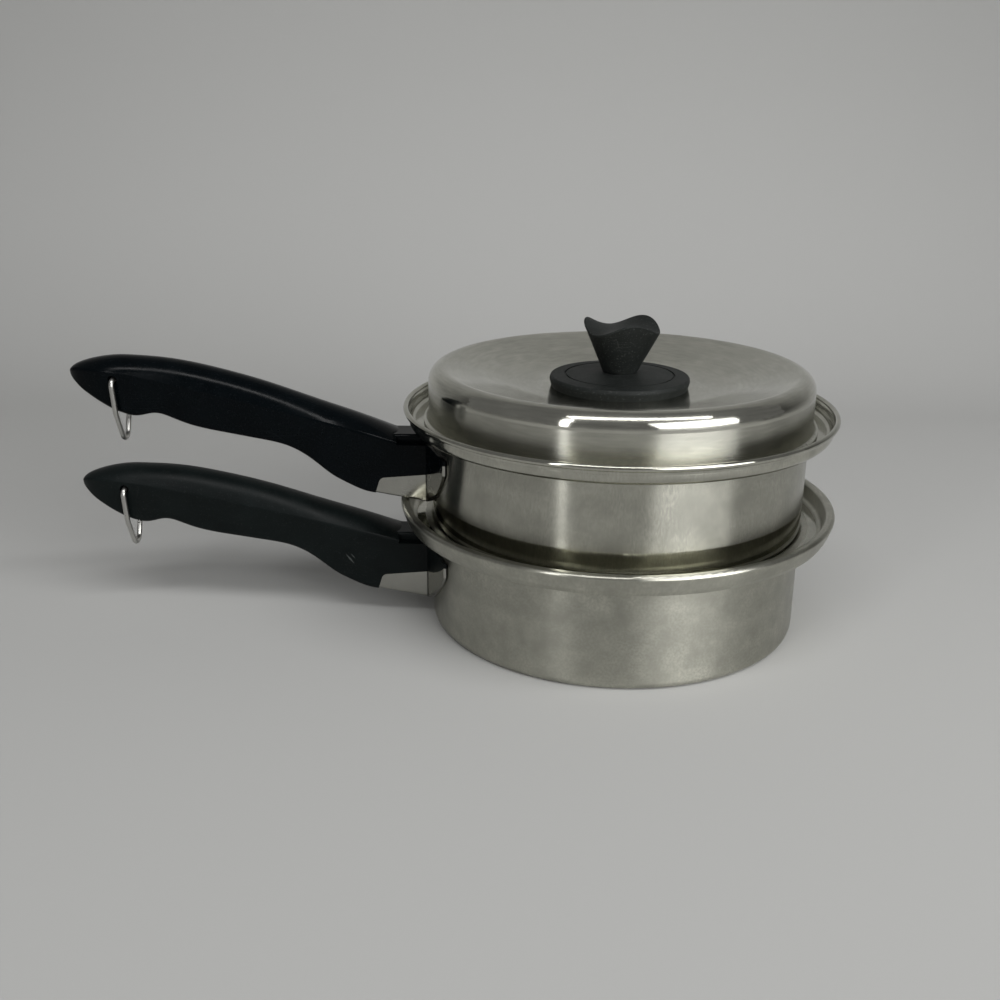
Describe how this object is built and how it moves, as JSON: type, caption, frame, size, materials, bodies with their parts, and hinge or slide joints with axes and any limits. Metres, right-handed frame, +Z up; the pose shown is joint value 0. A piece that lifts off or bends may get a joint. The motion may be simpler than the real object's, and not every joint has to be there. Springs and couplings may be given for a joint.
{
  "type": "double boiler",
  "caption": "Stacked stainless double boiler: a lower pan, an upper pan nested in its rim and a dished lid with a lobed knob, with dark handles that carry wire hanging rings.",
  "frame": {"origin": "centre of the lower pan's underside, on the surface that it stands on", "axes": "+Z up along the pans' common axis; both handles point along -X; +Y completes the right-handed frame"},
  "size_m": [0.3865, 0.2202, 0.1537],
  "materials": {
    "lower_pan_steel": "satin brushed stainless steel, slightly worn",
    "upper_pan_steel": "polished stainless steel with fine turning marks",
    "lid_steel": "polished stainless steel, turned in circles",
    "bracket_steel": "bright polished steel",
    "ring_wire": "bright drawn wire",
    "glossy_phenolic": "glossy black moulded phenolic",
    "worn_phenolic": "dulled black moulded phenolic with a scratch",
    "knob_phenolic": "dulled black moulded phenolic with fine speckle",
    "fastener_steel": "plain steel",
    "insert_brass": "turned brass"
  },
  "bodies": {
    "lower_pan_assembly": {"lower_pan": "lower_pan_steel", "lower_handle_bracket": "bracket_steel", "lower_handle": "worn_phenolic", "lower_handle_insert": "insert_brass", "lower_handle_screw": "fastener_steel", "lower_lock_washer": "fastener_steel"},
    "lower_ring": {"lower_hanging_ring": "ring_wire"},
    "upper_pan_assembly": {"upper_pan": "upper_pan_steel", "upper_handle_bracket": "bracket_steel", "upper_handle": "glossy_phenolic", "upper_handle_insert": "insert_brass", "upper_handle_screw": "fastener_steel", "upper_lock_washer": "fastener_steel"},
    "upper_ring": {"upper_hanging_ring": "ring_wire"},
    "lid_assembly": {"lid": "lid_steel", "knob_base": "knob_phenolic", "knob": "knob_phenolic", "knob_insert": "insert_brass", "knob_screw": "fastener_steel", "knob_washer": "fastener_steel"}
  },
  "joints": [
    {"name": "upper_pan_lift", "type": "slide", "parent": "lower_pan_assembly", "child": "upper_pan_assembly", "axis": [0, 0, 1], "range_m": [0, 0.12]},
    {"name": "lid_lift", "type": "slide", "parent": "upper_pan_assembly", "child": "lid_assembly", "axis": [0, 0, 1], "range_m": [0, 0.1]},
    {"name": "lower_ring_swing", "type": "hinge", "parent": "lower_pan_assembly", "child": "lower_ring", "pos_m": [-0.2519, 0, 0.06558], "axis": [0, 1, 0], "range_deg": [-12, 90]},
    {"name": "upper_ring_swing", "type": "hinge", "parent": "upper_pan_assembly", "child": "upper_ring", "pos_m": [-0.2519, 0, 0.12278], "axis": [0, 1, 0], "range_deg": [-12, 90]}
  ]
}
